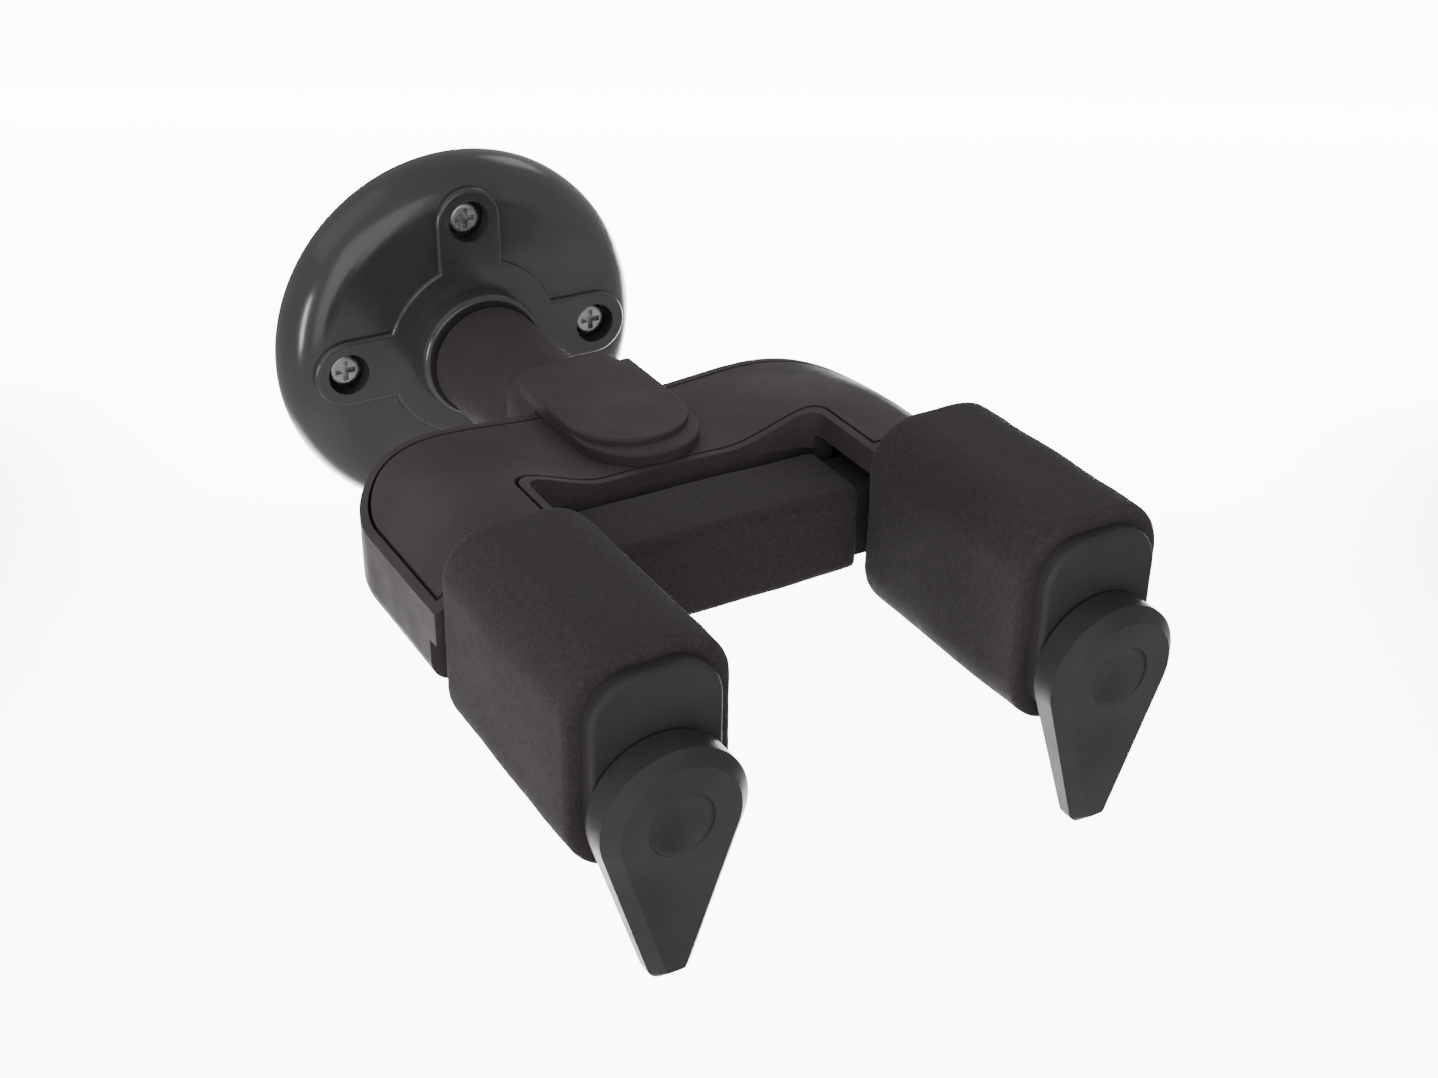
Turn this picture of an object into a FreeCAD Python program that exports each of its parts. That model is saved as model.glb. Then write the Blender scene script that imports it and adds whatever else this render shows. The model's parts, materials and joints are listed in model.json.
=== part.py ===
"""Wall guitar hanger with a tilting, self-locking cradle.

The origin is the centre of the wall plate's back face. The wall is the plane y = 0 and lies on the
+Y side, the neck runs along -Y, +X is to the right for somebody facing the wall, and +Z is up.
All sizes are millimetres. Cells that say "from the wall" hold positive distances, so a face 60 mm
from the wall lies at y = -60. Paired parts are built on the right and mirrored in x = 0.
"""
import FreeCAD, Part
import math
import os
import re
import Sketcher
from FreeCAD import Placement, Rotation, Vector

doc = FreeCAD.newDocument("guitar_hanger")
dims = doc.addObject("Spreadsheet::Sheet", "dims")

SIZES = [
    # wall plate
    ("plate_radius", 35.0, "outer radius of the plate"),
    ("plate_height", 10.0, "front face from the wall"),
    ("plate_round", 8.0, "rounding of the front edge"),
    ("plate_back_bevel", 1.8, "bevel of the back edge"),
    ("cavity_radius", 30.0, "hollow back of the plate"),
    ("cavity_depth", 7.4, "depth of the hollow back"),
    ("relief_height", 11.0, "raised cross from the wall"),
    ("relief_radius", 17.0, "centre disc of the raised cross"),
    ("lobe_radius", 6.2, "ends of the raised cross"),
    ("screw_circle", 24.5, "radius of the circle of wall screws"),
    ("collar_radius", 11.8, "collar round the neck"),
    ("collar_height", 15.5, "collar face from the wall"),
    ("hub_radius", 11.0, "hub inside the plate"),
    ("pocket_radius", 9.0, "pocket for the nut in the hub"),
    ("pocket_depth", 8.0, "depth of that pocket"),
    ("pillar_radius", 5.6, "screw pillars inside the plate"),
    # wall screws
    ("hole_radius", 2.25, "screw holes in the plate"),
    ("counterbore", 3.8, "radius of the counterbores"),
    ("screw_seat", 7.0, "floor of the counterbores from the wall"),
    ("head_wide", 3.15, "radius of the wall screws' heads"),
    ("head_tall", 2.0, "height of the wall screws' heads"),
    ("shank_radius", 1.6, "radius of the plain shank in the plate"),
    ("thread_wide", 1.95, "outer radius of the wall screws' threads"),
    ("thread_reach", 8.0, "straight thread behind the wall's face"),
    ("slot_wide", 1.0, "arms of the cross recess"),
    ("slot_long", 3.8, "length of the cross recess"),
    ("slot_deep", 1.2, "depth of the cross recess"),
    # neck
    ("journal_radius", 6.0, "journal that turns in the hub"),
    ("running_play", 0.05, "radial play of everything that turns"),
    ("thread_radius", 3.9, "threaded end of the journal"),
    ("thread_end", 1.5, "end of the thread from the wall"),
    ("stub_radius", 10.2, "round part of the neck"),
    ("stub_start", 16.3, "back face of the round part from the wall"),
    ("block_start", 45.0, "back face of the neck's block from the wall"),
    ("block_corner", 5.0, "rounding of the block's rear corners"),
    ("block_half", 10.8, "half width of the neck's block"),
    ("block_low", 6.6, "bottom of the block below the axis"),
    ("tongue_top", 12.8, "top of the tongue above the axis"),
    ("tongue_bottom", 9.9, "underside of the tongue above the axis"),
    ("tongue_half", 10.2, "half width of the tongue"),
    ("tongue_nose", 74.3, "centre of the round nose from the wall"),
    ("ledge_long", 3.7, "length of the ledge at the nose"),
    ("ledge_drop", 1.0, "step down to the nose's ledge"),
    ("bolt_radius", 1.95, "bolts through the lug"),
    ("lug_half", 8.0, "half width of the lug inside the casing"),
    ("lug_end", 80.0, "front of the lug from the wall"),
    ("lug_top", 5.6, "top of the lug above the axis"),
    ("lug_low", 2.0, "bottom of the lug below the axis"),
    # casing
    ("case_half", 47.0, "half width of the casing"),
    ("case_rear", 59.4, "rear face of the casing from the wall"),
    ("case_front", 104.3, "front ends of the casing from the wall"),
    ("case_low", 6.0, "underside of the casing below the axis"),
    ("case_corner", 20.2, "rounding of the rear corners"),
    ("case_edge", 3.5, "rounding of the lower edge"),
    ("notch_half", 25.2, "half width of the notch between the arms"),
    ("notch_rear", 86.2, "rear face of the notch from the wall"),
    ("notch_corner", 3.0, "rounding of the upper corners of the notch"),
    ("case_wall", 3.0, "wall of the casing"),
    ("case_floor", 2.0, "floor of the casing"),
    ("rim", 1.3, "rim round the lid"),
    ("groove", 0.5, "gap between rim and lid"),
    ("lid_thick", 2.2, "thickness of the lid"),
    ("valley", 9.8, "lid under the tongue above the axis"),
    ("hump", 4.8, "rise of the lid over the arms"),
    ("shoulder", 3.1, "fall of the lid to its outer edge"),
    ("cheek_step", 101.8, "lower front edge of the cheeks from the wall"),
    ("cheek_step_top", 1.5, "top of that step above the axis"),
    ("passage_top", 10.3, "top of the openings for the cradle"),
    # cradle
    ("pivot_out", 97.0, "tilting axis from the wall"),
    ("pivot_up", 3.6, "tilting axis above the neck's axis"),
    ("rod_radius", 2.0, "hinge rod"),
    ("rod_half", 46.0, "half length of the hinge rod"),
    ("arm_out", 34.8, "middle of the arms from the centre"),
    ("core_half", 7.0, "half width of the arm's core"),
    ("core_low", 7.0, "bottom of the arm's core below the axis"),
    ("core_top", 15.7, "top of the arm's core above the axis"),
    ("core_corner", 4.6, "rounding of the arm's core"),
    ("core_wall", 1.8, "wall of the arm's core"),
    ("core_rear", 104.9, "rear of the padded arm from the wall"),
    ("core_front", 143.4, "front of the arm's core from the wall"),
    ("foam", 4.9, "foam on the arms"),
    ("foam_corner", 8.2, "rounding of the foam's long edges"),
    ("foam_front", 144.3, "front of the foam from the wall"),
    ("cap_front", 146.9, "front of the end caps from the wall"),
    ("cap_inset", 2.4, "foam that shows round the end caps"),
    ("cap_corner", 6.5, "rounding of the end caps' corners"),
    ("root_rear", 88.6, "rear of the arms' roots from the wall"),
    ("root_half", 6.4, "half width of the arms' roots"),
    ("bar_front", 101.5, "front of the crossbar from the wall"),
    ("bar_rear", 90.1, "rear of the crossbar from the wall"),
    ("bar_top", 6.5, "top of the crossbar above the axis"),
    ("bar_low", 4.8, "bottom of the crossbar below the axis"),
    ("pad", 1.6, "foam on the crossbar"),
    ("pad_corner", 1.8, "rounding of the crossbar's foam"),
    ("pad_half", 23.7, "half length of the crossbar's foam"),
    # flaps and their drive
    ("shaft_low", 1.2, "flap shafts below the neck's axis"),
    ("shaft_radius", 2.5, "flap shafts"),
    ("bush_radius", 3.5, "outside of the bushes"),
    ("bush_length", 7.0, "length of the bushes"),
    ("tube_radius", 4.3, "cradle tube round the shaft"),
    ("tube_rear", 78.6, "rear end of the tube from the wall"),
    ("pinion_out", 73.0, "middle of the pinion from the wall"),
    ("pinion_width", 1.6, "width of the pinion"),
    ("pitch_radius", 3.0, "pitch radius of the pinion"),
    ("teeth", 8.0, "teeth of the pinion"),
    ("tooth_wide", 0.8, "tooth thickness at the pitch line"),
    ("addendum", 0.7, "tooth height above the pitch line"),
    ("dedendum", 0.9, "tooth depth below the pitch line"),
    ("spigot_radius", 1.3, "shaft end in the pinion"),
    ("flap_rear", 147.4, "rear face of the flaps from the wall"),
    ("flap_thick", 5.7, "thickness of the flaps at the shaft"),
    ("flap_head", 10.6, "radius of the flap's head"),
    ("flap_tip", 2.5, "radius of the two corners of the flap's tip"),
    ("flap_tip_half", 0.9, "half the distance between those corners' centres"),
    ("flap_reach", 24.2, "centre of the head down to those centres"),
    ("flap_slant", 3.4, "slant of the flap's front in degrees, so that its tip is thinner"),
    ("flap_bevel", 1.9, "bevel round the flap's front"),
    ("plug_radius", 4.8, "round plug over the flap's screw"),
    ("plug_deep", 1.9, "recess for the plug"),
    ("spring_out", 83.0, "return springs from the wall"),
    ("spring_radius", 2.3, "mean radius of the return springs"),
    ("wire_radius", 0.35, "spring wire"),
    ("spring_low", 3.1, "lower end of the springs above the axis"),
    ("spring_high", 9.2, "upper end of the springs above the axis"),
]
ALIASES = {alias for alias, _value, _note in SIZES}


def fill_sheet():
    """Writes each size as a named cell."""
    for row, (alias, value, note) in enumerate(SIZES, start=1):
        dims.set(f"A{row}", note)
        dims.set(f"B{row}", str(value))
        dims.setAlias(f"B{row}", alias)
    doc.recompute()


fill_sheet()


def size(alias):
    """The value of one named cell."""
    return float(dims.get(alias))


TOWARDS_WALL = Rotation(Vector(1, 0, 0), -90)   # local Z along +Y
FROM_WALL = Rotation(Vector(1, 0, 0), 90)       # local Z along -Y
TO_RIGHT = Rotation(Vector(0, 1, 0), 90)        # local Z along +X
UPRIGHT = Rotation()


# ---------------------------------------------------------------- building blocks

def formula(text):
    """Puts the sheet's name before each alias in an expression."""
    return re.sub(r"[a-z_]+", lambda word: f"dims.{word[0]}" if word[0] in ALIASES else word[0], text)


def bind(obj, **expressions):
    """Binds properties to the sheet. A double underscore in a keyword stands for a full stop."""
    for prop, text in expressions.items():
        obj.setExpression(prop.replace("__", "."), formula(text))
    return obj


def place(obj, x="0", y="0", z="0", turn=UPRIGHT):
    """Turns an object and binds the place of its local origin."""
    obj.Placement = Placement(Vector(), turn)
    return bind(obj, Placement__Base__x=x, Placement__Base__y=y, Placement__Base__z=z)


def cylinder(name, radius, height, x="0", y="0", z="0", turn=UPRIGHT):
    """A cylinder from its base centre along its turned local Z."""
    obj = doc.addObject("Part::Cylinder", name)
    return place(bind(obj, Radius=radius, Height=height), x, y, z, turn)


def cone(name, base, top, height, x="0", y="0", z="0", turn=UPRIGHT):
    """A cone from its base centre along its turned local Z."""
    obj = doc.addObject("Part::Cone", name)
    return place(bind(obj, Radius1=base, Radius2=top, Height=height), x, y, z, turn)


def block(name, x0, x1, y0, y1, z0, z1):
    """A box between two corners, each given as an expression."""
    obj = doc.addObject("Part::Box", name)
    bind(obj, Length=f"({x1}) - ({x0})", Width=f"({y1}) - ({y0})", Height=f"({z1}) - ({z0})")
    return place(obj, x0, y0, z0)


def fuse(name, *shapes):
    """The union of several objects, with the seams between their faces removed."""
    obj = doc.addObject("Part::MultiFuse", name)
    obj.Shapes = list(shapes)
    obj.Refine = True
    return obj


def cut(name, base, *tools):
    """The base without the tools."""
    obj = doc.addObject("Part::Cut", name)
    obj.Base = base
    obj.Tool = tools[0] if len(tools) == 1 else fuse(name + "_tools", *tools)
    obj.Refine = True
    return obj


def common(name, first, second):
    """What two objects share."""
    obj = doc.addObject("Part::MultiCommon", name)
    obj.Shapes = [first, second]
    obj.Refine = True
    return obj


def mirrored(name, source):
    """The left-hand twin of a right-hand object."""
    obj = doc.addObject("Part::Mirroring", name)
    obj.Source = source
    obj.Normal = Vector(1, 0, 0)
    return obj


def group(name, *shapes):
    """Separate solids that share one node."""
    obj = doc.addObject("Part::Compound", name)
    obj.Links = list(shapes)
    return obj


def smoothed(kind, name, base, amount, wanted):
    """Fillets or chamfers the edges of an object for which wanted(edge) is true."""
    doc.recompute()
    picked = [n for n, edge in enumerate(base.Shape.Edges, start=1) if wanted(edge)]
    obj = doc.addObject(kind, name)
    obj.Base = base
    obj.Edges = [(n, amount, amount) for n in picked]
    return obj


def rounded(name, base, amount, wanted):
    """Rounds chosen edges."""
    return smoothed("Part::Fillet", name, base, amount, wanted)


def bevelled(name, base, amount, wanted):
    """Bevels chosen edges."""
    return smoothed("Part::Chamfer", name, base, amount, wanted)


def along(axis, edge):
    """True for a straight edge parallel to an axis."""
    return edge.Curve.TypeId == "Part::GeomLine" and abs(edge.Curve.Direction.dot(axis)) > 0.999


def level(edge, axis, value):
    """True for an edge that lies wholly in one plane across an axis."""
    points = [edge.valueAt(edge.getParameterByLength(edge.Length * part / 4)) for part in range(5)]
    return all(abs(getattr(point, axis) - value) < 0.02 for point in points)


X_AXIS = Vector(1, 0, 0)
Y_AXIS = Vector(0, 1, 0)
Z_AXIS = Vector(0, 0, 1)


def bar_along_y(name, x0, x1, y0, y1, z0, z1, corner):
    """A box whose four long edges, parallel to Y, are rounded."""
    return rounded(name, block(name + "_box", x0, x1, y0, y1, z0, z1), corner,
                   lambda edge: along(Y_AXIS, edge))


# ---------------------------------------------------------------- wall plate and its fasteners

COMPASS = [
    ("east", "screw_circle", "0"),
    ("north", "0", "screw_circle"),
    ("west", "-screw_circle", "0"),
    ("south", "0", "-screw_circle"),
]
RELIEF_ROUND = 0.7
COLLAR_ROUND = 1.5


def wall_plate():
    """The round plate: hollow at the back, with a raised cross and a collar at the front."""
    front = -size("plate_height")
    disc = cylinder("plate_disc", "plate_radius", "plate_height", turn=FROM_WALL)
    disc = bevelled("plate_disc_back", disc, size("plate_back_bevel"), lambda edge: level(edge, "y", 0.0))
    disc = rounded("plate_disc_round", disc, size("plate_round"), lambda edge: level(edge, "y", front))
    relief_front = -size("relief_height")
    relief = [cylinder("relief_disc", "relief_radius", "relief_height", turn=FROM_WALL)]
    for side, x, z in COMPASS:
        relief.append(cylinder(f"lobe_{side}", "lobe_radius", "relief_height - plate_height + 2",
                               x, "-plate_height + 2", z, FROM_WALL))
    relief = [rounded(part.Name + "_soft", part, RELIEF_ROUND, lambda edge: level(edge, "y", relief_front))
              for part in relief]
    bars = [
        (block("relief_bar", "-screw_circle", "screw_circle", "-relief_height", "-plate_height + 2",
               "-lobe_radius", "lobe_radius"), X_AXIS),
        (block("relief_post", "-lobe_radius", "lobe_radius", "-relief_height", "-plate_height + 2",
               "-screw_circle", "screw_circle"), Z_AXIS),
    ]
    for bar, axis in bars:
        relief.append(rounded(bar.Name + "_soft", bar, RELIEF_ROUND,
                              lambda edge: along(axis, edge) and level(edge, "y", relief_front)))
    collar = cylinder("collar", "collar_radius", "collar_height", turn=FROM_WALL)
    collar = rounded("collar_round", collar, COLLAR_ROUND,
                     lambda edge: level(edge, "y", -size("collar_height")))
    hollow = cylinder("plate_hollow", "cavity_radius", "cavity_depth", turn=FROM_WALL)
    kept = [cylinder("hub", "hub_radius", "collar_height", turn=FROM_WALL)]
    holes = [
        cylinder("hub_bore", "journal_radius + running_play", "collar_height + 2", y="1", turn=FROM_WALL),
        cylinder("hub_pocket", "pocket_radius", "pocket_depth", turn=FROM_WALL),
    ]
    for side, x, z in COMPASS:
        kept.append(cylinder(f"pillar_{side}", "pillar_radius", "plate_height - 1", x, "0", z, FROM_WALL))
        holes.append(cylinder(f"hole_{side}", "hole_radius", "relief_height + 2", x, "1", z, FROM_WALL))
        holes.append(cylinder(f"counterbore_{side}", "counterbore", "5", x, "-screw_seat", z, FROM_WALL))
    hollow = cut("plate_cavity", hollow, *kept)
    return cut("wall_plate", fuse("plate_front", disc, collar, *relief), hollow, *holes)


def wall_screws():
    """Four pan-head screws with a cross recess, each reaching into the wall."""
    screws = []
    for side, x, z in COMPASS:
        top = "-(screw_seat + head_tall)"
        head = cylinder(f"head_{side}", "head_wide", "head_tall", x, "-screw_seat", z, FROM_WALL)
        head = rounded(f"head_round_{side}", head, 1.0,
                       lambda edge: level(edge, "y", -size("screw_seat") - size("head_tall")))
        shank = cylinder(f"shank_{side}", "shank_radius", "screw_seat + 1", x, "-screw_seat", z,
                         TOWARDS_WALL)
        thread = cylinder(f"thread_{side}", "thread_wide", "thread_reach", x, "0", z, TOWARDS_WALL)
        point = cone(f"point_{side}", "thread_wide", "0.3", "4", x, "thread_reach", z, TOWARDS_WALL)
        flat = block(f"slot_flat_{side}", f"{x} - slot_long / 2", f"{x} + slot_long / 2", f"{top} - 1",
                     f"{top} + slot_deep", f"{z} - slot_wide / 2", f"{z} + slot_wide / 2")
        tall = block(f"slot_tall_{side}", f"{x} - slot_wide / 2", f"{x} + slot_wide / 2", f"{top} - 1",
                     f"{top} + slot_deep", f"{z} - slot_long / 2", f"{z} + slot_long / 2")
        whole = fuse(f"screw_{side}", head, shank, thread, point)
        screws.append(cut(f"wall_screw_{side}", whole, flat, tall))
    return group("wall_screws", *screws)


def ring(name, inner, outer, near, far):
    """A flat ring about the neck's axis between two distances from the wall."""
    disc = cylinder(name + "_disc", outer, f"{far} - {near}", y=f"-{near}", turn=FROM_WALL)
    hole = cylinder(name + "_hole", inner, f"{far} - {near} + 2", y=f"-{near} + 1", turn=FROM_WALL)
    return cut(name, disc, hole)


def thrust_washer():
    """The plastic washer that the neck's shoulder turns on."""
    return ring("thrust_washer", "journal_radius + 0.3", "collar_radius - 0.9",
                "collar_height", "stub_start")


def retaining_washer():
    """The washer behind the hub that holds the neck in the plate."""
    return ring("retaining_washer", "thread_radius + 0.1", "pocket_radius - 0.8",
                "(pocket_depth - 1)", "(pocket_depth - 0.1)")


def spring_washer():
    """The springy washer that gives the turning neck its drag."""
    return ring("spring_washer", "thread_radius + 0.1", "pocket_radius - 1.8",
                "(pocket_depth - 1.6)", "(pocket_depth - 1)")


def lock_nut():
    """The hexagonal nut on the journal's threaded end."""
    nut = doc.addObject("Part::Prism", "nut_hexagon")
    nut.Polygon = 6
    place(bind(nut, Circumradius="7.4", Height="4.2"), y="-(pocket_depth - 5.8)", turn=FROM_WALL)
    hole = cylinder("nut_hole", "thread_radius", "8", y="0", turn=FROM_WALL)
    return cut("lock_nut", nut, hole)


# ---------------------------------------------------------------- neck

BOLT_DISTANCES = ("65", "75")
TONGUE_ROUND = 0.45


def neck_arm():
    """Journal, round neck, block, the lug inside the casing and the tongue on its lid."""
    journal = cylinder("journal", "journal_radius", "stub_start + 1 - pocket_depth",
                       y="-pocket_depth", turn=FROM_WALL)
    thread = cylinder("journal_thread", "thread_radius", "pocket_depth", y="-thread_end", turn=FROM_WALL)
    stub = cylinder("stub", "stub_radius", "block_start + 2 - stub_start", y="-stub_start", turn=FROM_WALL)
    stub = bevelled("stub_shoulder", stub, 0.6, lambda edge: level(edge, "y", -size("stub_start")))
    heel = block("heel_box", "-block_half", "block_half", "-case_rear", "-block_start",
                 "-block_low", "tongue_top")
    heel = rounded("heel", heel, size("block_corner"),
                   lambda edge: along(Z_AXIS, edge) and edge.BoundBox.YMin > -50)
    heel = rounded("heel_soft", heel, size("block_corner") - 0.5,
                   lambda edge: edge.BoundBox.YMin > -size("case_rear") + 0.5
                   and (level(edge, "z", size("tongue_top")) or level(edge, "z", -size("block_low"))))
    lug = block("lug", "-lug_half", "lug_half", "-lug_end", "-case_rear + 1", "-lug_low", "lug_top")
    tongue = []
    for level_name, nose, top in (("high", "(tongue_nose - ledge_long)", "tongue_top"),
                                  ("low", "tongue_nose", "(tongue_top - ledge_drop)")):
        flat = block(f"tongue_flat_{level_name}", "-tongue_half", "tongue_half", f"-{nose}",
                     "-block_start - 8", "tongue_bottom", top)
        tongue.append(rounded(f"tongue_soft_{level_name}", flat, TONGUE_ROUND,
                              lambda edge: along(Y_AXIS, edge) and edge.BoundBox.ZMin > size("valley") + 1))
        end = cylinder(f"tongue_nose_{level_name}", "tongue_half", f"{top} - tongue_bottom", "0",
                       f"-{nose}", "tongue_bottom")
        tongue.append(rounded(f"tongue_nose_soft_{level_name}", end, TONGUE_ROUND,
                              lambda edge: edge.BoundBox.ZMin > size("valley") + 1))
    whole = fuse("neck_solid", journal, thread, stub, heel, lug, *tongue)
    holes = [cylinder(f"lug_hole_{n}", "bolt_radius", "7", "0", f"-{out}", "-lug_low - 0.5")
             for n, out in enumerate(BOLT_DISTANCES)]
    return cut("neck_arm", whole, *holes)


def socket_screw(name, head, tall, shank, long, x, y, z):
    """A socket-head screw standing upright with its head down: z is the seat under the head."""
    cap = cylinder(name + "_cap", head, tall, x, y, f"{z} - {tall}")
    stem = cylinder(name + "_stem", shank, long, x, y, z)
    socket = doc.addObject("Part::Prism", name + "_socket")
    socket.Polygon = 6
    place(bind(socket, Circumradius=f"{head} * 0.55", Height=f"{tall} * 0.6 + 1"),
          x, y, f"{z} - {tall} - 1")
    return cut(name, fuse(name + "_solid", cap, stem), socket)


def neck_bolts():
    """Two screws from below that hold the casing to the neck's lug."""
    return group("neck_bolts", *[socket_screw(f"neck_bolt_{n}", "3.3", "2", "bolt_radius", "8",
                                              "0", f"-{out}", "-case_low + 2.2")
                                 for n, out in enumerate(BOLT_DISTANCES)])


# ---------------------------------------------------------------- casing

LID_SCREWS = [("a", "20", "-66"), ("b", "-20", "-66"), ("c", "20", "-80"), ("d", "-20", "-80")]
BOSS_RADIUS = "3.1"
BOSS_JOINT = "4"
BOW_RADIUS = "165"
BOW_TOP = "85.5"


def smoothstep(value):
    """Rises softly from 0 to 1 as value goes from 0 to 1."""
    value = min(1.0, max(0.0, value))
    return value * value * (3 - 2 * value)


def crown_height(x, distance):
    """Top of the lid: low under the tongue, humped over the arms, falling to the outer edge."""
    across = abs(x)
    peak_in, peak_out, fall_from, half = 27.0, 36.5, 30.0, size("case_half")
    at_rear, full_from = 0.2, 88.0
    grown = smoothstep((distance - size("case_rear")) / (full_from - size("case_rear")))
    grown = at_rear + (1 - at_rear) * grown
    inner = smoothstep((across - size("tongue_half")) / (peak_in - size("tongue_half")))
    outer = 1 - smoothstep((across - peak_out) / (half - peak_out))
    fall = size("shoulder") * max(0.0, (across - fall_from) / (half - fall_from)) ** 2
    return size("valley") + size("hump") * grown * inner * outer - fall


def crown(name, drop):
    """Everything below the lid's curved top, lowered by drop."""
    rows = []
    for step in range(12):
        distance = 54.0 + 5.0 * step
        rows.append([Vector(x, -distance, crown_height(x, distance) - drop) for x in range(-52, 53, 4)])
    surface = Part.BSplineSurface()
    surface.interpolate(rows)
    obj = doc.addObject("Part::Feature", name)
    obj.Shape = surface.toShape().extrude(Vector(0, 0, -40))
    obj.Placement = Placement()
    return obj


CROWN = crown("crown", 0.0)
CROWN_LOW = crown("crown_low", size("lid_thick"))


def notch(name, inset):
    """The space between the casing's arms, with a bowed upper lip. inset widens it."""
    half = f"notch_half + {inset}"
    low = block(name + "_low", f"-({half})", half, "-case_front - 1", f"-notch_rear + {inset}", "-20", "8")
    high = block(name + "_high", f"-({half})", half, "-case_front - 1", "-80", "7.9", "40")
    bow = cylinder(name + "_bow", f"{BOW_RADIUS} + {inset}", "60", "0", f"-{BOW_TOP} - {BOW_RADIUS}", "-5")
    lip = rounded(name + "_lip_soft", common(name + "_lip", high, bow), size("notch_corner"),
                  lambda edge: along(Z_AXIS, edge) and edge.BoundBox.YMin > -size("case_front") + 5)
    return fuse(name, low, lip)


def u_prism(name, inset_names, front, low):
    """The casing's plan, moved inwards by the sum of some sizes, standing on a level."""
    inset = " + ".join(inset_names) if inset_names else "0"
    amount = sum(size(alias) for alias in inset_names)
    body = block(name + "_body", f"-(case_half - ({inset}))", f"case_half - ({inset})", front,
                 f"-(case_rear + {inset})", low, "30")
    body = rounded(name + "_corners", body, size("case_corner") - amount,
                   lambda edge: along(Z_AXIS, edge) and edge.BoundBox.YMin > -size("case_rear") - 5)
    if not inset_names:
        body = rounded(name + "_lower", body, size("case_edge"),
                       lambda edge: level(edge, "z", -size("case_low"))
                       and not level(edge, "y", -size("case_front")))
    return cut(name, body, notch(name + "_notch", f"({inset})"))


def yoke_base():
    """The lower casing: walls, a rim round the lid, bosses and the openings for the cradle."""
    outer = u_prism("base_outer", [], "-case_front", "-case_low")
    seat = u_prism("base_seat", ["rim"], "-case_front + 2.3", "-20")
    room = u_prism("base_room", ["case_wall"], "-case_front - 1", "-case_low + case_floor")
    rim = cut("base_rim", common("base_full", outer, CROWN), seat)
    shell = cut("base_shell", fuse("base_walls", common("base_walls_low", outer, CROWN_LOW), rim), room)
    added = [block("saddle", "-lug_half", "lug_half", "-lug_end", "-case_rear - 1",
                   "-case_low + 1", "-lug_low")]
    holes = [block("neck_window", "-lug_half - 0.1", "lug_half + 0.1", "-case_rear - 5", "-case_rear + 1",
                   "-lug_low", "lug_top + 0.1")]
    for side, x, y in LID_SCREWS:
        added.append(cylinder(f"boss_{side}", BOSS_RADIUS, f"{BOSS_JOINT} + case_low - 1", x, y,
                              "-case_low + 1"))
        holes.append(cylinder(f"boss_hole_{side}", "1.6", "20", x, y, "-case_low - 1"))
        holes.append(cylinder(f"boss_sink_{side}", "2.8", "3.4", x, y, "-case_low - 1"))
    for n, out in enumerate(BOLT_DISTANCES):
        holes.append(cylinder(f"bolt_hole_{n}", "bolt_radius + 0.15", "9", "0", f"-{out}", "-case_low - 1"))
        holes.append(cylinder(f"bolt_sink_{n}", "3.5", "3.2", "0", f"-{out}", "-case_low - 1"))
    for side in ("", "-"):
        inner, outer_x = (f"{side}(notch_half - 1)", f"{side}(case_half - case_wall)")
        slot_in = f"{side}(arm_out - tube_radius - 0.6)"
        slot_out = f"{side}(arm_out + tube_radius + 0.6)"
        if side:
            inner, outer_x, slot_in, slot_out = outer_x, inner, slot_out, slot_in
        holes.append(block(f"passage{side}", inner, outer_x, "-case_front - 1", "-notch_rear - 2",
                           "-case_low - 1", "passage_top"))
        holes.append(block(f"floor_slot{side}", slot_in, slot_out, "-notch_rear - 3",
                           "-pinion_out + 2.2", "-case_low - 1", "-case_low + case_floor + 0.5"))
    holes.append(block("cheek_cut", "-case_half - 1", "case_half + 1", "-case_front - 1", "-cheek_step",
                       "-case_low - 1", "cheek_step_top"))
    holes.append(cylinder("cheek_bore", "rod_radius", "2 * rod_half", "-rod_half", "-pivot_out",
                          "pivot_up", TO_RIGHT))
    return cut("yoke_base", fuse("base_filled", shell, *added), *holes)


def yoke_lid():
    """The crowned lid, with bosses for its screws and a seat for each return spring."""
    plan = u_prism("lid_plan", ["rim", "groove"], "-case_front + 2.8", "-20")
    skin = common("lid_skin", plan, cut("crown_skin", CROWN, CROWN_LOW))
    added = []
    holes = []
    for side, x, y in LID_SCREWS:
        boss = cylinder(f"lid_boss_{side}", BOSS_RADIUS, "20", x, y, BOSS_JOINT)
        added.append(common(f"lid_boss_cut_{side}", boss, CROWN))
        holes.append(cylinder(f"lid_hole_{side}", "1.35", "4.5", x, y, f"{BOSS_JOINT} - 0.5"))
    for name, x in (("right", "arm_out"), ("left", "-arm_out")):
        boss = cylinder(f"spring_boss_{name}", "spring_radius + 1", "20", x, "-spring_out", "spring_high")
        added.append(common(f"spring_boss_cut_{name}", boss, CROWN))
    holes.append(cylinder("lid_rod_way", "rod_radius + 0.3", "2 * rod_half", "-rod_half", "-pivot_out",
                          "pivot_up", TO_RIGHT))
    return cut("yoke_lid", fuse("lid_solid", skin, *added), *holes)


def lid_screws():
    """Four screws from below that hold the lid to the base."""
    return group("lid_screws", *[socket_screw(f"lid_screw_{side}", "2.6", "2", "1.35", "11.5", x, y,
                                              "-case_low + 2.4")
                                 for side, x, y in LID_SCREWS])


def hinge_rod():
    """The steel rod on which the cradle tilts, held in the casing's cheeks."""
    return cylinder("hinge_rod", "rod_radius", "2 * rod_half", "-rod_half", "-pivot_out", "pivot_up",
                    TO_RIGHT)


# ---------------------------------------------------------------- toothed drive and springs

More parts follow.
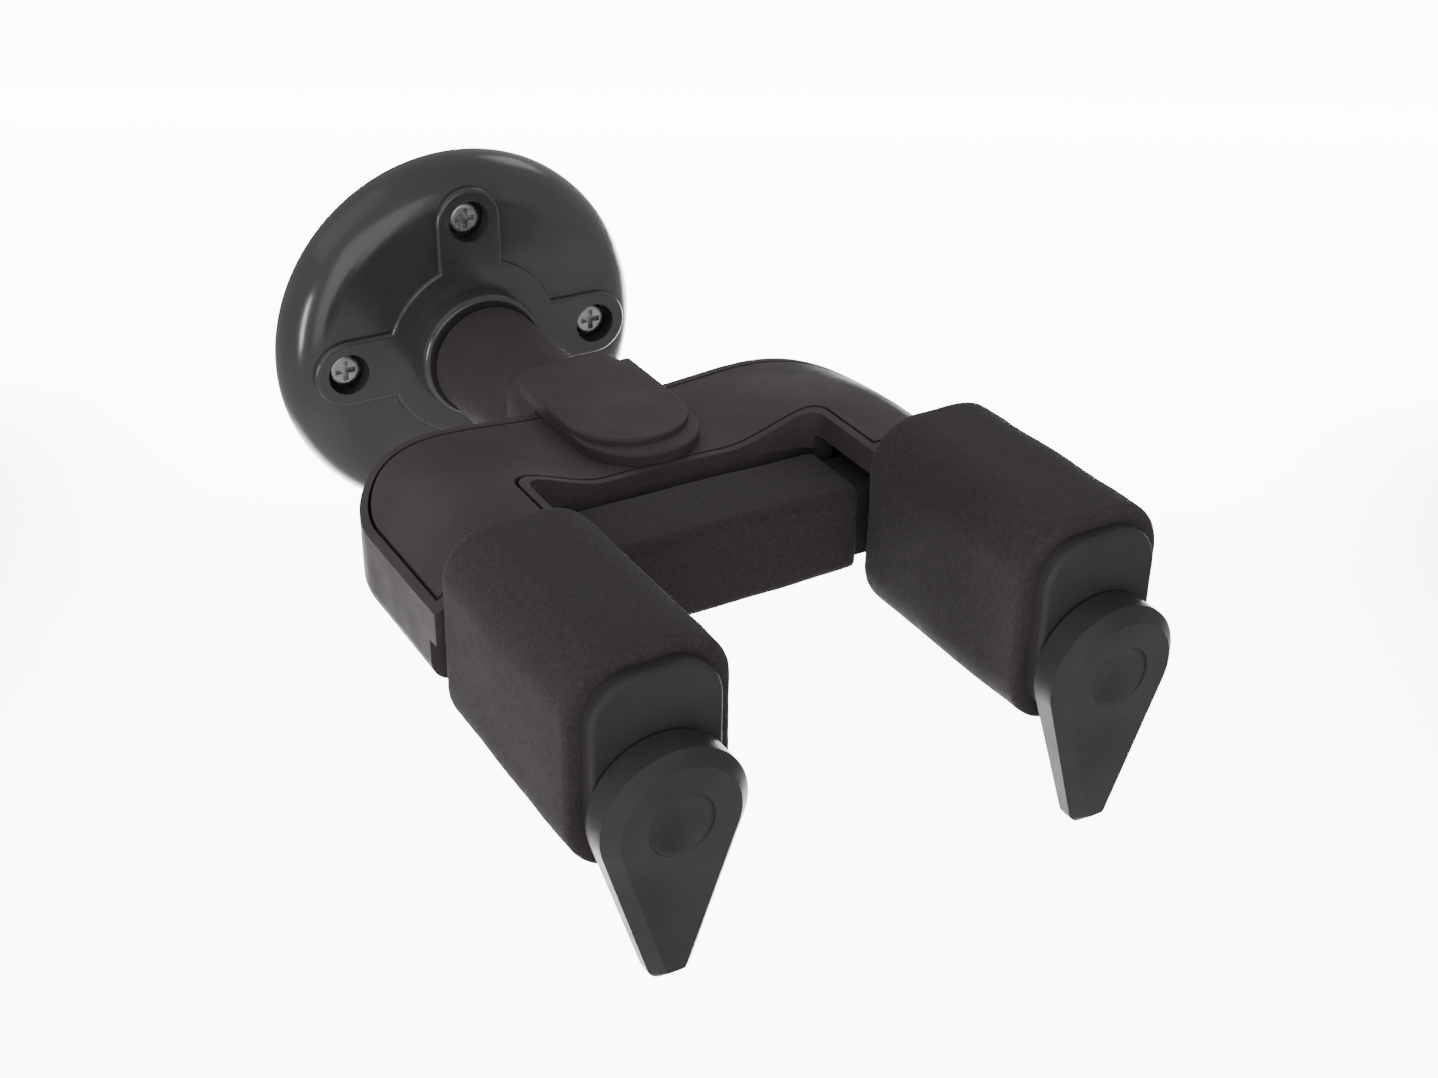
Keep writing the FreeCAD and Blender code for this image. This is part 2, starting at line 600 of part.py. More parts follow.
def extruded_outline(name, points, thick, place_at):
    """A closed outline in a local XZ plane, extruded along +Y and placed."""
    wire = Part.makePolygon([Vector(x, 0, z) for x, z in points] + [Vector(points[0][0], 0, points[0][1])])
    obj = doc.addObject("Part::Feature", name)
    obj.Shape = Part.Face(wire).extrude(Vector(0, thick, 0))
    obj.Placement = Placement(place_at, UPRIGHT)
    return obj


def tooth_profile():
    """Half widths of a tooth at its root and at its tip."""
    slope = 0.36
    half = size("tooth_wide") / 2
    return half + slope * size("dedendum"), half - slope * size("addendum")


def rack_right():
    """The fixed rack beside the pinion. Its teeth point inwards."""
    pitch = 2 * math.pi * size("pitch_radius") / size("teeth")
    root, tip = tooth_profile()
    line = size("pitch_radius")
    bottom = -size("case_low") + size("case_floor") + size("shaft_low")
    top = bottom + 10.8
    back = line + 3.6
    points = [(back, bottom), (line + size("dedendum"), bottom)]
    for number in range(-1, 4):
        middle = number * pitch
        if middle - root < bottom or middle + root > top:
            continue
        points += [(line + size("dedendum"), middle - root), (line - size("addendum"), middle - tip),
                   (line - size("addendum"), middle + tip), (line + size("dedendum"), middle + root)]
    points += [(line + size("dedendum"), top), (back, top)]
    wide = 4.0
    return extruded_outline("rack_right", points, wide,
                            Vector(size("arm_out"), -size("pinion_out") - wide / 2, -size("shaft_low")))


def pinion_right():
    """The small pinion on the end of the flap's shaft."""
    root, tip = tooth_profile()
    count = int(size("teeth"))
    low = size("pitch_radius") - size("dedendum")
    high = size("pitch_radius") + size("addendum")
    points = []
    for number in range(count):
        angle = 2 * math.pi * (number + 0.5) / count
        along_tooth = (math.cos(angle), math.sin(angle))
        across_tooth = (-math.sin(angle), math.cos(angle))
        for level_out, half in ((low, -root), (high, -tip), (high, tip), (low, root)):
            points.append((level_out * along_tooth[0] + half * across_tooth[0],
                           level_out * along_tooth[1] + half * across_tooth[1]))
    wheel = extruded_outline("pinion_wheel", points, size("pinion_width"),
                             Vector(size("arm_out"), -size("pinion_out") - size("pinion_width") / 2,
                                    -size("shaft_low")))
    hole = cylinder("pinion_hole", "spigot_radius", "8", "arm_out", "-pinion_out - 4", "-shaft_low",
                    TOWARDS_WALL)
    return cut("pinion_right", wheel, hole)


def return_spring_right():
    """The compression spring that lifts the cradle back."""
    wire, coil_radius = size("wire_radius"), size("spring_radius")
    height = size("spring_high") - size("spring_low") - 2 * wire
    helix = Part.makeLongHelix(height / 4, height, coil_radius)
    corners = [Vector(coil_radius + wire * math.cos(math.pi * n / 4), 0, wire * math.sin(math.pi * n / 4))
               for n in range(9)]
    coil = Part.Wire(helix.Edges).makePipeShell([Part.makePolygon(corners)], True, True)
    obj = doc.addObject("Part::Feature", "return_spring_right")
    obj.Shape = coil
    obj.Placement = Placement(Vector(size("arm_out"), -size("spring_out"),
                                     size("spring_low") + size("wire_radius")), UPRIGHT)
    return obj


# ---------------------------------------------------------------- cradle

FRONT_LIP = 0.8


def core_bar(name, inset, near, far):
    """A bar with the section of the arm's core, made smaller by inset."""
    return bar_along_y(name, f"arm_out - core_half + {inset}", f"arm_out + core_half - {inset}",
                       far, near, f"-core_low + {inset}", f"core_top - {inset}",
                       size("core_corner") - float(inset))


def cradle_frame():
    """Both hollow arms, their roots and tubes inside the casing, and the crossbar between them."""
    arm = core_bar("arm", "0", "-core_rear", "-core_front")
    hollow = core_bar("arm_hollow", str(size("core_wall")), "-core_rear - 3", "-core_front - 1")
    root = block("arm_root", "arm_out - root_half", "arm_out + root_half", "-core_rear - 0.5",
                 "-root_rear", "-bar_low", "bar_top")
    root = bevelled("arm_root_bevel", root, 1.0, lambda edge: level(edge, "y", -size("root_rear")))
    tube = cylinder("shaft_tube", "tube_radius", "root_rear + 2 - tube_rear", "arm_out", "-tube_rear",
                    "-shaft_low", FROM_WALL)
    seat = block("spring_seat", "arm_out - 3.2", "arm_out + 3.2", "-spring_out - 3.2",
                 "-spring_out + 3.2", "-shaft_low", "spring_low")
    holes = [
        cylinder("shaft_way", "shaft_radius + 0.4", "60", "arm_out", "-tube_rear + 1", "-shaft_low",
                 FROM_WALL),
        cylinder("rear_bush_way", "bush_radius", "bush_length", "arm_out", "-tube_rear", "-shaft_low",
                 FROM_WALL),
    ]
    half = cut("cradle_half", fuse("cradle_half_solid", cut("arm_shell", arm, hollow), root, tube, seat),
               *holes)
    bar = block("crossbar", "-arm_out + root_half - 0.5", "arm_out - root_half + 0.5", "-bar_front",
                "-bar_rear", "-bar_low", "bar_top")
    bore = cylinder("rod_way", "rod_radius + running_play", "100", "-50", "-pivot_out", "pivot_up",
                    TO_RIGHT)
    return cut("cradle_frame", fuse("cradle_solid", half, mirrored("cradle_half_left", half), bar), bore)


def crossbar_pad():
    """The foam sleeve round the crossbar."""
    outer = block("bar_foam_box", "-pad_half", "pad_half", "-bar_front - pad", "-bar_rear + pad",
                  "-bar_low - pad", "bar_top + pad")
    outer = rounded("bar_foam", outer, size("pad_corner"), lambda edge: along(X_AXIS, edge))
    inner = block("bar_foam_bore", "-pad_half - 1", "pad_half + 1", "-bar_front", "-bar_rear",
                  "-bar_low", "bar_top")
    return cut("crossbar_pad", outer, inner)


def foam_sleeve_right():
    """The foam sleeve round an arm, open at both ends."""
    outer = bar_along_y("sleeve", "arm_out - core_half - foam", "arm_out + core_half + foam",
                        "-foam_front", "-core_rear + 0.3", "-core_low - foam", "core_top + foam",
                        size("foam_corner"))
    outer = rounded("sleeve_soft", outer, FRONT_LIP, lambda edge: level(edge, "y", -size("foam_front")))
    inner = core_bar("sleeve_bore", "0", "-core_rear + 1", "-foam_front - 1")
    return cut("foam_sleeve_right", outer, inner)


def end_cap_right():
    """The cap over the end of the arm and its foam. Its spigot carries the front bush."""
    side = "core_half + foam - cap_inset"
    flange = bar_along_y("cap_flange", f"arm_out - ({side})", f"arm_out + {side}", "-cap_front",
                         "-foam_front", "-core_low - foam + cap_inset", "core_top + foam - cap_inset",
                         size("cap_corner"))
    flange = rounded("cap_soft", flange, FRONT_LIP, lambda edge: level(edge, "y", -size("cap_front")))
    plate = core_bar("cap_plate", "0", "-core_front", "-foam_front - 0.5")
    section = core_bar("cap_section", "1.85", "-core_front + 7.5", "-core_front - 0.5")
    lower = block("cap_lower", "0", "arm_out + core_half", "-core_front - 1", "-core_front + 8",
                  "-core_low", "6")
    spigot = common("cap_spigot", section, lower)
    way = cylinder("cap_way", "bush_radius", "20", "arm_out", "-cap_front - 1", "-shaft_low", TOWARDS_WALL)
    return cut("end_cap_right", fuse("cap_solid", flange, plate, spigot), way)


def bush(name, front):
    """A plain bush for a flap's shaft. front is its front face."""
    body = cylinder(name + "_body", "bush_radius", "bush_length", "arm_out", front, "-shaft_low",
                    TOWARDS_WALL)
    way = cylinder(name + "_way", "shaft_radius + running_play", "bush_length + 2", "arm_out",
                   f"{front} - 1", "-shaft_low", TOWARDS_WALL)
    return cut(name, body, way)


# ---------------------------------------------------------------- locking flaps

SHAFT_FRONT = "(flap_rear + 1.7)"
SHAFT_REAR = "(pinion_out + 3)"
SCREW_SEAT = "(flap_rear + 2.4)"
FLAT_UP = "1.8"


def shaft_flat(name, far, near):
    """The piece that is missing from a shaft with a flat along its top."""
    return block(name, "arm_out - 4", "arm_out + 4", far, near, f"-shaft_low + {FLAT_UP}", "4")


def flap_shaft_right():
    """The shaft of a flap: a flat at the front for the flap, a spigot at the rear for the pinion."""
    main = cylinder("shaft_main", "shaft_radius", f"{SHAFT_FRONT} - {SHAFT_REAR}", "arm_out",
                    f"-{SHAFT_FRONT}", "-shaft_low", TOWARDS_WALL)
    spigot = cylinder("shaft_spigot", "spigot_radius", "4.4", "arm_out", f"-{SHAFT_REAR} - 0.2",
                      "-shaft_low", TOWARDS_WALL)
    flat = shaft_flat("shaft_end_flat", f"-{SHAFT_FRONT} - 1", "-flap_rear")
    thread = cylinder("shaft_thread", "1.25", "9", "arm_out", f"-{SHAFT_FRONT} - 0.5", "-shaft_low",
                      TOWARDS_WALL)
    return cut("flap_shaft_right", fuse("shaft_solid", main, spigot), flat, thread)


def flap_outline():
    """The flap's outline: a large round head and a blunt tip with round corners, tangent throughout."""
    sketch = doc.addObject("Sketcher::SketchObject", "flap_outline")
    head, tip = size("flap_head"), size("flap_tip")
    half, reach = size("flap_tip_half"), size("flap_reach")
    lean = math.asin((head - tip) / math.hypot(half, reach)) - math.atan2(half, reach)
    arcs = [Part.ArcOfCircle(Part.Circle(Vector(0, 0, 0), Z_AXIS, head), -lean, math.pi + lean),
            Part.ArcOfCircle(Part.Circle(Vector(-half, -reach, 0), Z_AXIS, tip), math.pi + lean,
                             1.5 * math.pi),
            Part.ArcOfCircle(Part.Circle(Vector(half, -reach, 0), Z_AXIS, tip), 1.5 * math.pi,
                             2 * math.pi - lean)]
    following = arcs[1:] + arcs[:1]
    lines = [Part.LineSegment(arc.EndPoint, after.StartPoint) for arc, after in zip(arcs, following)]
    sketch.addGeometry(arcs + lines)
    for number in range(3):
        line, after = number + 3, (number + 1) % 3
        sketch.addConstraint(Sketcher.Constraint("Tangent", number, 2, line, 1))
        sketch.addConstraint(Sketcher.Constraint("Tangent", line, 2, after, 1))
    sketch.addConstraint(Sketcher.Constraint("Coincident", 0, 3, -1, 1))
    sketch.addConstraint(Sketcher.Constraint("Horizontal", 4))
    sizes = [("flap_head", Sketcher.Constraint("Radius", 0, head)),
             ("flap_tip", Sketcher.Constraint("Radius", 1, tip)),
             ("flap_reach", Sketcher.Constraint("DistanceY", 1, 3, -1, 1, reach)),
             ("flap_tip_half", Sketcher.Constraint("DistanceX", 1, 3, -1, 1, half)),
             ("flap_tip_half", Sketcher.Constraint("DistanceX", -1, 1, 2, 3, half))]
    for alias, constraint in sizes:
        index = sketch.addConstraint(constraint)
        sketch.setExpression(f"Constraints[{index}]", f"dims.{alias}")
    return sketch


def flap_right():
    """The locking flap with its bevelled front and the recess for its screw and plug."""
    body = doc.addObject("Part::Extrusion", "flap_blank")
    body.Base = flap_outline()
    body.DirMode = "Normal"
    body.Solid = True
    place(bind(body, LengthFwd="flap_thick + 2"), "arm_out", "-flap_rear", "-shaft_low", FROM_WALL)
    slant = doc.addObject("Part::Box", "flap_slant")
    bind(slant, Length="80", Width="20", Height="80")
    hinge_point = Vector(size("arm_out"), -size("flap_rear") - size("flap_thick"), -size("shaft_low"))
    tilted = Placement(hinge_point, Rotation(X_AXIS, size("flap_slant")))
    slant.Placement = tilted.multiply(Placement(Vector(-40, -20, -40), UPRIGHT))
    body = cut("flap_slanted", body, slant)
    middle = -size("flap_rear") - size("flap_thick") / 2
    body = bevelled("flap_bevelled", body, size("flap_bevel"), lambda edge: edge.BoundBox.YMax < middle)
    recess = cylinder("flap_recess", "plug_radius", "plug_deep + 1", "arm_out",
                      "-flap_rear - flap_thick - 1", "-shaft_low", TOWARDS_WALL)
    sink = cylinder("flap_sink", "2.8", "3", "arm_out", f"-{SCREW_SEAT}", "-shaft_low", FROM_WALL)
    way = cylinder("flap_screw_way", "1.4", "9", "arm_out", "-flap_rear + 1", "-shaft_low", FROM_WALL)
    end = cylinder("flap_shaft_end", "shaft_radius", f"{SHAFT_FRONT} - flap_rear + 1", "arm_out",
                   f"-{SHAFT_FRONT}", "-shaft_low", TOWARDS_WALL)
    end = cut("flap_shaft_seat", end, shaft_flat("flap_seat_flat", f"-{SHAFT_FRONT} - 1", "-flap_rear + 2"))
    return cut("flap_right", body, recess, sink, way, end)


def flap_screw_right():
    """The screw that pulls the flap onto its shaft."""
    head = cylinder("flap_screw_head", "2.6", "1.1", "arm_out", f"-{SCREW_SEAT}", "-shaft_low", FROM_WALL)
    stem = cylinder("flap_screw_stem", "1.25", "8.5", "arm_out", f"-{SCREW_SEAT}", "-shaft_low",
                    TOWARDS_WALL)
    socket = cylinder("flap_screw_socket", "1.2", "2", "arm_out", f"-{SCREW_SEAT} - 0.5", "-shaft_low",
                      FROM_WALL)
    return cut("flap_screw_right", fuse("flap_screw_solid", head, stem), socket)


def flap_plug_right():
    """The dished plug that hides the flap's screw."""
    thick, dish_radius, dish_deep = 1.6, 9.5, 1.0
    disc = cylinder("plug_disc", "plug_radius", f"{thick}", "arm_out", "-flap_rear - flap_thick + plug_deep",
                    "-shaft_low", FROM_WALL)
    ball = doc.addObject("Part::Sphere", "plug_dish")
    place(bind(ball, Radius=f"{dish_radius}"), "arm_out",
          f"-flap_rear - flap_thick + plug_deep - {thick} - {dish_radius} + {dish_deep}", "-shaft_low")
    return cut("flap_plug_right", disc, ball)


# ---------------------------------------------------------------- assembly and export

def all_parts():
    """Every sub-part, by the name of its node."""
    single = [wall_plate(), wall_screws(), thrust_washer(), retaining_washer(), spring_washer(),
              lock_nut(), neck_arm(), neck_bolts(), yoke_base(), yoke_lid(), lid_screws(), hinge_rod(),
              cradle_frame(), crossbar_pad()]
    paired = [rack_right(), return_spring_right(), foam_sleeve_right(), end_cap_right(),
              bush("front_bush_right", "-cap_front"),
              bush("rear_bush_right", "-tube_rear - bush_length"),
              flap_shaft_right(), pinion_right(), flap_right(), flap_screw_right(), flap_plug_right()]
    parts = {part.Name: part for part in single + paired}
    for part in paired:
        twin = part.Name.replace("_right", "_left")
        parts[twin] = mirrored(twin, part)
    for name, part in parts.items():
        part.Label = name
    return parts


def check(parts):
    """Stops at any object that failed and at any sub-part that isn't a sound solid."""
    failed = [obj.Label for obj in doc.Objects if "Invalid" in obj.State or "Error" in obj.State]
    if failed:
        raise RuntimeError(f"these objects failed: {failed}")
    for name, part in parts.items():
        if part.Shape.isNull() or not part.Shape.isValid() or not part.Shape.Solids:
            raise RuntimeError(f"{name} is not a valid solid")


def export(parts):
    """Writes each sub-part to its own file."""
    os.makedirs("parts", exist_ok=True)
    for name, part in parts.items():
        part.Shape.exportStep(f"parts/{name}.step")
        print(f"{name}: {len(part.Shape.Solids)} solid(s), {part.Shape.Volume:.0f} mm3")


PARTS = all_parts()
doc.recompute()
check(PARTS)
export(PARTS)
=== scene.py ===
"""Looks of the wall guitar hanger: camera, studio, materials, foam and return springs.

Everything is in metres in the CAD frame: the wall is the plane y = 0, the arms point along -Y, and
+Z is up. Places are worked out from the boxes of the CAD nodes.
"""
import json
import math

import bpy
from mathutils import Matrix, Vector, noise


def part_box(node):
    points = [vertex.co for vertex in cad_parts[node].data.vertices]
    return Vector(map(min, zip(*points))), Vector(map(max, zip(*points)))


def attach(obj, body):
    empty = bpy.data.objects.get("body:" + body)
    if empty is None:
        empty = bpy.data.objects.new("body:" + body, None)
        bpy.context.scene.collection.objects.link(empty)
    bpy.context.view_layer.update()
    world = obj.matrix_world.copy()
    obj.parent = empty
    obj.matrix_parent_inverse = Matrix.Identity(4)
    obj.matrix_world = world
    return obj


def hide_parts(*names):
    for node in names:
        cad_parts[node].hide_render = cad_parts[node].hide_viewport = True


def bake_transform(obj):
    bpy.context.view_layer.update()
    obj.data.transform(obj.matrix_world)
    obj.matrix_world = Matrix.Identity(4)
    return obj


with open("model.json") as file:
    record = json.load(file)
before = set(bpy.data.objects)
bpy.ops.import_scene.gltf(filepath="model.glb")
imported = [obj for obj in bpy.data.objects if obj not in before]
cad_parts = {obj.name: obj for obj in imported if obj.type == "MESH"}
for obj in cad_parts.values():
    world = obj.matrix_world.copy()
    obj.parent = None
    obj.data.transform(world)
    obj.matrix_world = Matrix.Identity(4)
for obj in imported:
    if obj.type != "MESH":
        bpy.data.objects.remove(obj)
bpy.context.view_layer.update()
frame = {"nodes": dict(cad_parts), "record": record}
NODES = frame["nodes"]
MM = 0.001
SIDES = ("left", "right")


# ---------------------------------------------------------------- camera

LENS_MM = 51.29
SENSOR_MM = 36.0
CAMERA_PLACE = Vector((-0.1337, -0.3320, 0.1556))
CAMERA_AZIMUTH = math.radians(-30.08)
CAMERA_ELEVATION = math.radians(29.52)
CAMERA_ROLL = math.radians(0.74)


def add_camera():
    """Looks down at the hanger from the left and the front."""
    cos_az, sin_az = math.cos(CAMERA_AZIMUTH), math.sin(CAMERA_AZIMUTH)
    cos_el, sin_el = math.cos(CAMERA_ELEVATION), math.sin(CAMERA_ELEVATION)
    back = Vector((sin_az * cos_el, -cos_az * cos_el, sin_el))
    level = Vector((cos_az, sin_az, 0.0))
    upright = back.cross(level)
    cos_roll, sin_roll = math.cos(CAMERA_ROLL), math.sin(CAMERA_ROLL)
    right = cos_roll * level + sin_roll * upright
    up = cos_roll * upright - sin_roll * level
    turn = Matrix((right, up, back)).transposed().to_4x4()
    data = bpy.data.cameras.new("camera")
    data.lens = LENS_MM
    data.sensor_width = SENSOR_MM
    data.sensor_fit = "HORIZONTAL"
    data.clip_start = 0.01
    data.clip_end = 20.0
    camera = bpy.data.objects.new("camera", data)
    camera.matrix_world = Matrix.Translation(CAMERA_PLACE) @ turn
    bpy.context.scene.collection.objects.link(camera)
    bpy.context.scene.camera = camera


add_camera()


# ---------------------------------------------------------------- material building blocks

class Shader:
    """A node material with a Principled shader and helpers for procedural detail."""

    def __init__(self, name, color, roughness, metallic=0.0):
        self.material = bpy.data.materials.new(name)
        self.material.use_nodes = True
        self.tree = self.material.node_tree
        self.principled = self.tree.nodes["Principled BSDF"]
        self.color = color
        self.set("Base Color", (*color, 1.0))
        self.set("Roughness", roughness)
        self.set("Metallic", metallic)
        self.place = self.node("ShaderNodeTexCoord").outputs["Object"]

    def set(self, socket, value):
        """Sets a uniform value on the shader's own socket."""
        self.principled.inputs[socket].default_value = value

    def node(self, kind, **settings):
        """Adds a node and sets its properties."""
        node = self.tree.nodes.new(kind)
        for key, value in settings.items():
            setattr(node, key, value)
        return node

    def link(self, source, target):
        """Joins two sockets."""
        self.tree.links.new(source, target)

    def noise(self, scale, detail=3.0, rough=0.55, stretch=(1.0, 1.0, 1.0)):
        """Noise over the object's own space. scale is in features per metre."""
        mapping = self.node("ShaderNodeMapping")
        mapping.inputs["Scale"].default_value = stretch
        self.link(self.place, mapping.inputs["Vector"])
        texture = self.node("ShaderNodeTexNoise")
        texture.inputs["Scale"].default_value = scale
        texture.inputs["Detail"].default_value = detail
        texture.inputs["Roughness"].default_value = rough
        self.link(mapping.outputs["Vector"], texture.inputs["Vector"])
        return texture.outputs["Fac"]

    def cells(self, scale):
        """Distance to the nearest cell centre of a fine cell pattern."""
        texture = self.node("ShaderNodeTexVoronoi")
        texture.inputs["Scale"].default_value = scale
        self.link(self.place, texture.inputs["Vector"])
        return texture.outputs["Distance"]

    def ramp(self, fac, low, high, start=0.35, end=0.65):
        """Spreads a factor over a range of values or colours."""
        ramp = self.node("ShaderNodeValToRGB")
        ramp.color_ramp.elements[0].position = start
        ramp.color_ramp.elements[1].position = end
        for element, value in zip(ramp.color_ramp.elements, (low, high)):
            element.color = (*value, 1.0) if isinstance(value, tuple) else (value, value, value, 1.0)
        self.link(fac, ramp.inputs["Fac"])
        return ramp.outputs["Color"]

    def vary_color(self, fac, spread, tint=(1.0, 1.0, 1.0), start=0.35, end=0.65):
        """Varies the base colour by a share of itself."""
        low = tuple(part * (1 - spread) for part in self.color)
        high = tuple(part * (1 + spread) * shade for part, shade in zip(self.color, tint))
        self.link(self.ramp(fac, low, high, start, end), self.principled.inputs["Base Color"])

    def vary_roughness(self, fac, low, high, start=0.35, end=0.65):
        """Varies the roughness between two values."""
        self.link(self.ramp(fac, low, high, start, end), self.principled.inputs["Roughness"])

    def bump(self, *layers):
        """Adds layers of bump, each a height socket and its depth in metres."""
        normal = None
        for height, depth in layers:
            node = self.node("ShaderNodeBump")
            node.inputs["Strength"].default_value = 1.0
            node.inputs["Distance"].default_value = depth
            self.link(height, node.inputs["Height"])
            if normal is not None:
                self.link(normal, node.inputs["Normal"])
            normal = node.outputs["Normal"]
        self.link(normal, self.principled.inputs["Normal"])


# ---------------------------------------------------------------- materials

def plate_plastic():
    """Polished black moulding, faintly uneven as moulded plastic is."""
    shader = Shader("plate_gloss_black", (0.037, 0.034, 0.0352), 0.24)
    shader.set("Specular IOR Level", 0.5)
    shader.vary_roughness(shader.noise(90.0, 5.0), 0.16, 0.22)
    shader.vary_color(shader.noise(35.0), 0.2)
    shader.bump((shader.noise(60.0, 2.0), 0.00006), (shader.noise(2600.0, 2.0), 0.000002))
    return shader.material


def satin_black(name, color=(0.054, 0.046, 0.050), roughness=0.5):
    """Soft satin black with a very fine spark-eroded grain."""
    shader = Shader(name, color, roughness)
    shader.set("Specular IOR Level", 0.12)
    shader.vary_roughness(shader.noise(160.0, 4.0), roughness - 0.05, roughness + 0.07)
    shader.vary_color(shader.noise(50.0, 4.0), 0.10, (1.03, 0.99, 1.0))
    shader.bump((shader.noise(5200.0, 2.0), 0.000012), (shader.noise(110.0, 2.0), 0.00002))
    return shader.material


def foam_black():
    """Dense closed-cell foam: a fine pebbled skin with tiny open pores."""
    shader = Shader("arm_foam_black", (0.0315, 0.0258, 0.0288), 0.95)
    shader.set("Sheen Weight", 0.05)
    shader.set("Sheen Roughness", 0.6)
    shader.set("Specular IOR Level", 0.2)
    shader.vary_color(shader.noise(1500.0, 4.0, 0.7), 0.2, (1.02, 0.99, 1.0))
    shader.bump((shader.noise(420.0, 3.0), 0.00006), (shader.noise(3200.0, 3.0, 0.7), 0.00005),
                (shader.cells(2400.0), 0.00004))
    return shader.material


def gloss_flap():
    """Smooth black moulding of the locking flaps."""
    shader = Shader("flap_gloss_black", (0.038, 0.0355, 0.0385), 0.38)
    shader.set("Specular IOR Level", 0.08)
    shader.vary_roughness(shader.noise(120.0, 4.0), 0.34, 0.44)
    shader.vary_color(shader.noise(70.0), 0.15)
    shader.bump((shader.noise(90.0, 2.0), 0.00002))
    return shader.material


def bright_steel(name, color, roughness):
    """Turned or plated steel with fine tool marks and slight tarnish."""
    shader = Shader(name, color, roughness, metallic=1.0)
    shader.vary_roughness(shader.noise(600.0, 5.0, 0.65), roughness - 0.08, roughness + 0.16)
    shader.vary_color(shader.noise(300.0, 4.0), 0.22)
    shader.bump((shader.noise(1500.0, 3.0, 0.6, (1.0, 6.0, 1.0)), 0.00001))
    return shader.material


def pale_plastic(name, color):
    """Unpainted engineering plastic."""
    shader = Shader(name, color, 0.45)
    shader.set("Subsurface Weight", 0.08)
    shader.set("Subsurface Radius", (0.002, 0.0018, 0.0015))
    shader.vary_roughness(shader.noise(400.0), 0.38, 0.52)
    shader.bump((shader.noise(1800.0), 0.000006))
    return shader.material


MATERIALS = {
    "plate_plastic": plate_plastic(),
    "neck_paint": satin_black("neck_satin_black", (0.048, 0.041, 0.0445)),
    "casing_plastic": satin_black("casing_satin_black"),
    "frame_paint": satin_black("frame_matt_black", (0.036, 0.034, 0.036), 0.6),
    "arm_foam": foam_black(),
    "cap_plastic": satin_black("cap_matt_black", (0.035, 0.0328, 0.035), 0.5),
    "flap_plastic": gloss_flap(),
    "plug_plastic": satin_black("plug_satin_black", (0.036, 0.034, 0.0365), 0.4),
    "screw_steel": bright_steel("screw_bright_zinc", (0.34, 0.34, 0.335), 0.3),
    "machined_steel": bright_steel("machined_steel", (0.55, 0.56, 0.57), 0.32),
    "black_screw": bright_steel("black_oxide_steel", (0.05, 0.05, 0.055), 0.4),
    "washer_acetal": satin_black("washer_black_acetal", (0.02, 0.02, 0.021), 0.4),
    "bearing_nylon": pale_plastic("bearing_nylon", (0.75, 0.73, 0.68)),
    "drive_acetal": pale_plastic("drive_acetal", (0.8, 0.8, 0.78)),
}


def finish_nodes():
    """Gives each CAD node the material of its slot."""
    for part in frame["record"]["subparts"]:
        data = NODES[part["node"]].data
        data.materials.clear()
        data.materials.append(MATERIALS[part["material_slot"]])


finish_nodes()


# ---------------------------------------------------------------- mesh building blocks

def new_piece(name, vertices, faces, material):
    """A smooth-shaded mesh object in the row frame."""
    mesh = bpy.data.meshes.new(name)
    mesh.from_pydata([tuple(v) for v in vertices], [], faces)
    mesh.materials.append(material)
    mesh.polygons.foreach_set("use_smooth", [True] * len(mesh.polygons))
    mesh.update()
    piece = bpy.data.objects.new(name, mesh)
    bpy.context.scene.collection.objects.link(piece)
    return piece


def rounded_loop(half_a, half_b, corner, steps_corner, steps_a, steps_b):
    """Points round a rectangle with round corners, as (a, b) pairs, anticlockwise from +a."""
    points = []
    quarters = [(1, 1), (-1, 1), (-1, -1), (1, -1)]
    for quarter, (sign_a, sign_b) in enumerate(quarters):
        centre = (sign_a * (half_a - corner), sign_b * (half_b - corner))
        start = quarter * math.pi / 2
        for step in range(steps_corner + 1):
            angle = start + step / steps_corner * math.pi / 2
            points.append((centre[0] + corner * math.cos(angle), centre[1] + corner * math.sin(angle)))
        straight = steps_a if quarter % 2 == 0 else steps_b
        next_a, next_b = quarters[(quarter + 1) % 4]
        end_angle = start + math.pi / 2
        first = points[-1]
        last = (next_a * (half_a - corner) + corner * math.cos(end_angle),
                next_b * (half_b - corner) + corner * math.sin(end_angle))
        for step in range(1, straight):
            share = step / straight
            points.append((first[0] + share * (last[0] - first[0]), first[1] + share * (last[1] - first[1])))
    return points


def skin_loops(loops):
    """Vertices and quads of a closed tube of loops, the last joined to the first."""
    count = len(loops[0])
    vertices = [point for loop in loops for point in loop]
    faces = []
    for row in range(len(loops)):
        following = (row + 1) % len(loops)
        for column in range(count):
            beside = (column + 1) % count
            faces.append((row * count + column, following * count + column,
                          following * count + beside, row * count + beside))
    return vertices, faces


def roughen(vertices, normals, scale, depth, seed):
    """Moves points along their normals by smooth noise. scale is in features per metre."""
    shift = Vector((seed * 7.3, seed * 3.1, seed * 1.7))
    return [v + n * depth * noise.noise(v * scale + shift) for v, n in zip(vertices, normals)]


# ---------------------------------------------------------------- foam sleeves

FOAM_CORNER = 8.2 * MM
FOAM_THICK = 4.9 * MM
FOAM_LIP = 0.8 * MM
FOAM_REAR_LIP = 2.4 * MM
FOAM_CROWN = 0.1 * MM
FOAM_CLEARANCE = 0.5 * MM
CORE_CORNER = 4.6 * MM
FOAM_DENTS = 0.22 * MM
FOAM_PEBBLES = 0.05 * MM


